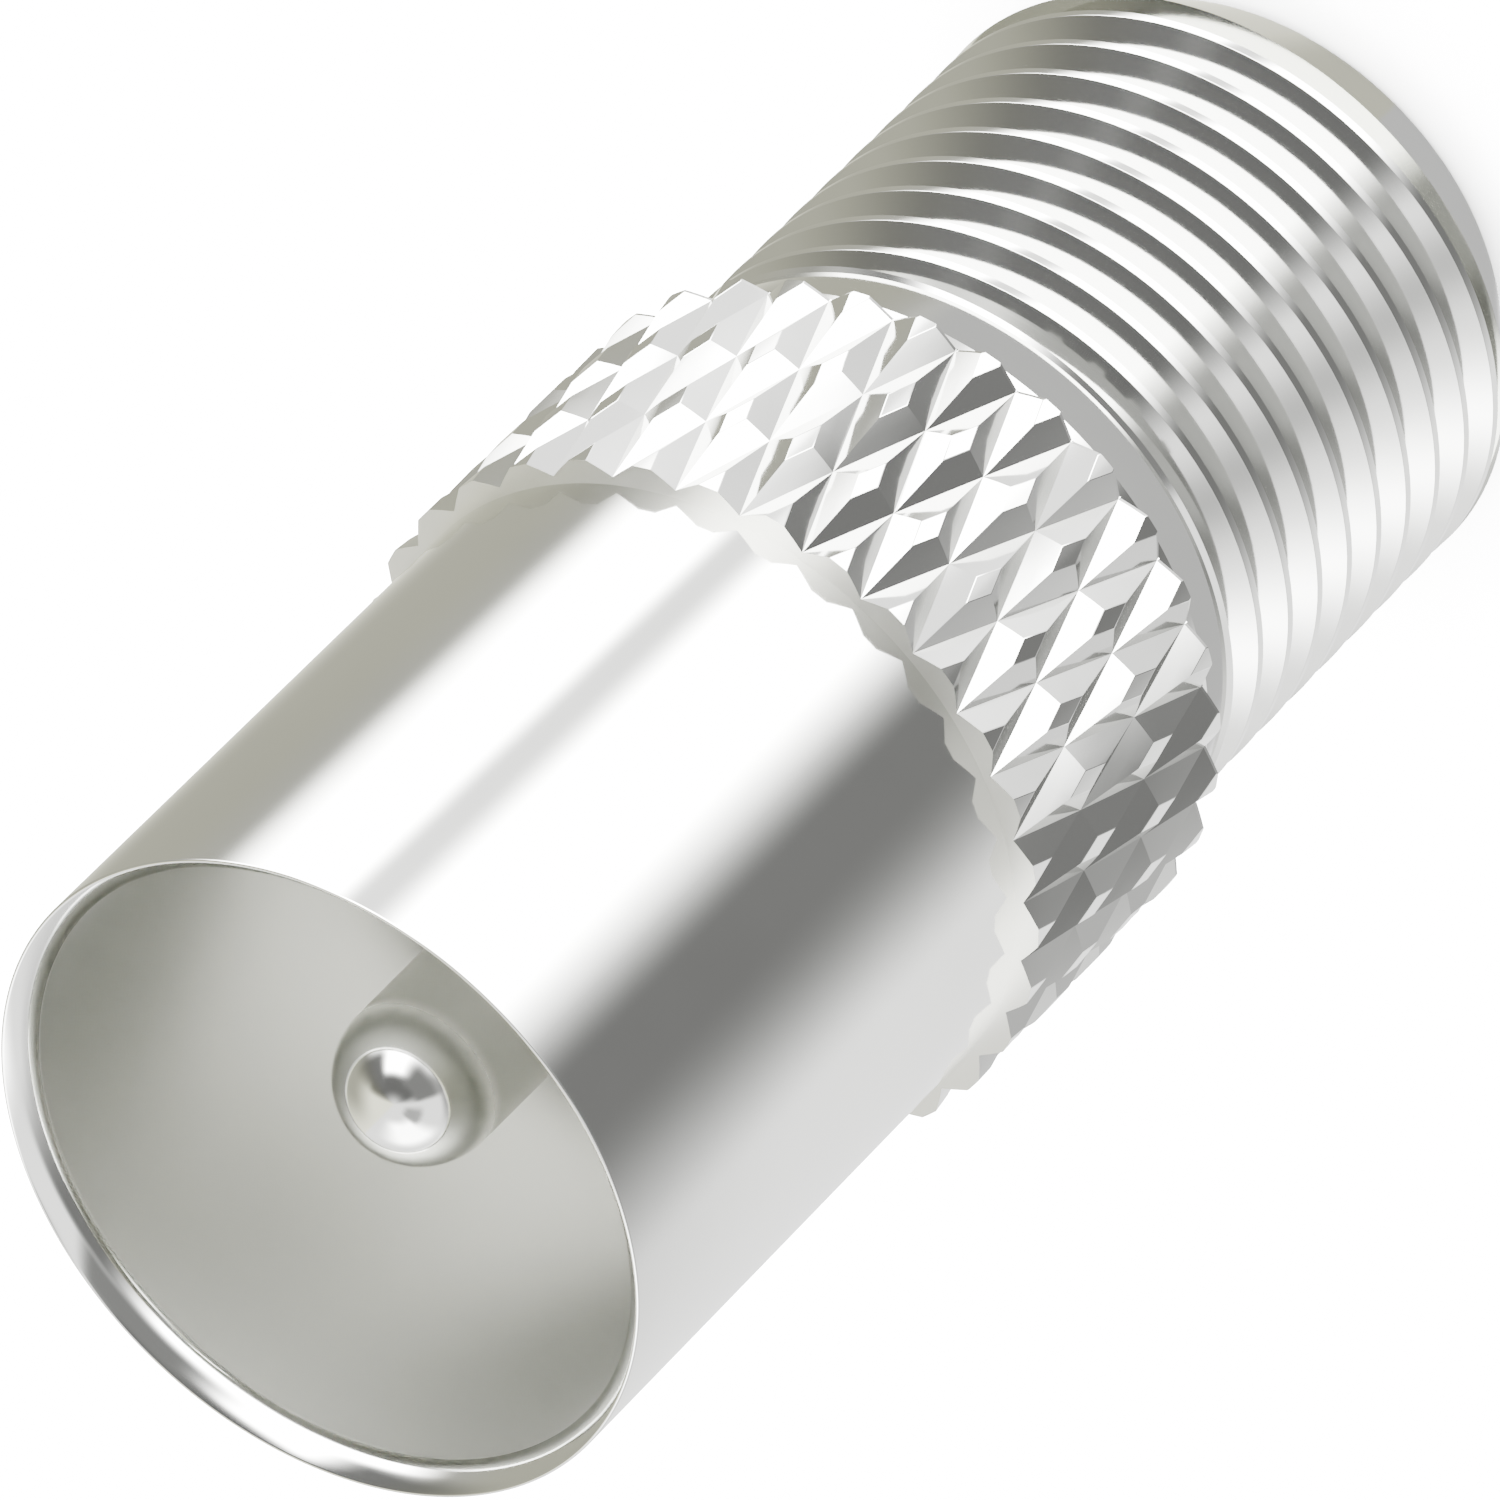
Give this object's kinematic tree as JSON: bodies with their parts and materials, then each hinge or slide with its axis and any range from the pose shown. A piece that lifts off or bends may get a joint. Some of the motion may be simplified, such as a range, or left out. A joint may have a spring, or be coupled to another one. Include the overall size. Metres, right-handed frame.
{
  "type": "coaxial_adapter",
  "caption": "Straight coaxial adapter with a smooth push-on plug and centre pin at one end, a diamond-knurled collar and a threaded F socket at the other end.",
  "frame": {"origin": "centre of the socket's end face, where the standing adapter's axis meets what it rests on", "axes": "+Z along the adapter's axis, from the threaded socket to the plug's mouth"},
  "size_m": [0.0106, 0.0106, 0.0241],
  "materials": {
    "nickel_body": "bright nickel plate over turned and knurled brass",
    "nickel_sleeve": "bright nickel plate over a smooth turned barrel",
    "nickel_pin": "bright nickel plate over a turned pin",
    "plug_plastic": "natural white moulded plastic",
    "socket_plastic": "natural white moulded plastic",
    "contact_metal": "thin bright plate over spring bronze"
  },
  "bodies": {
    "root": {"adapter_body": "nickel_body", "plug_sleeve": "nickel_sleeve", "centre_pin": "nickel_pin", "plug_insulator": "plug_plastic", "socket_insulator": "socket_plastic", "socket_contact": "contact_metal"}
  },
  "joints": []
}
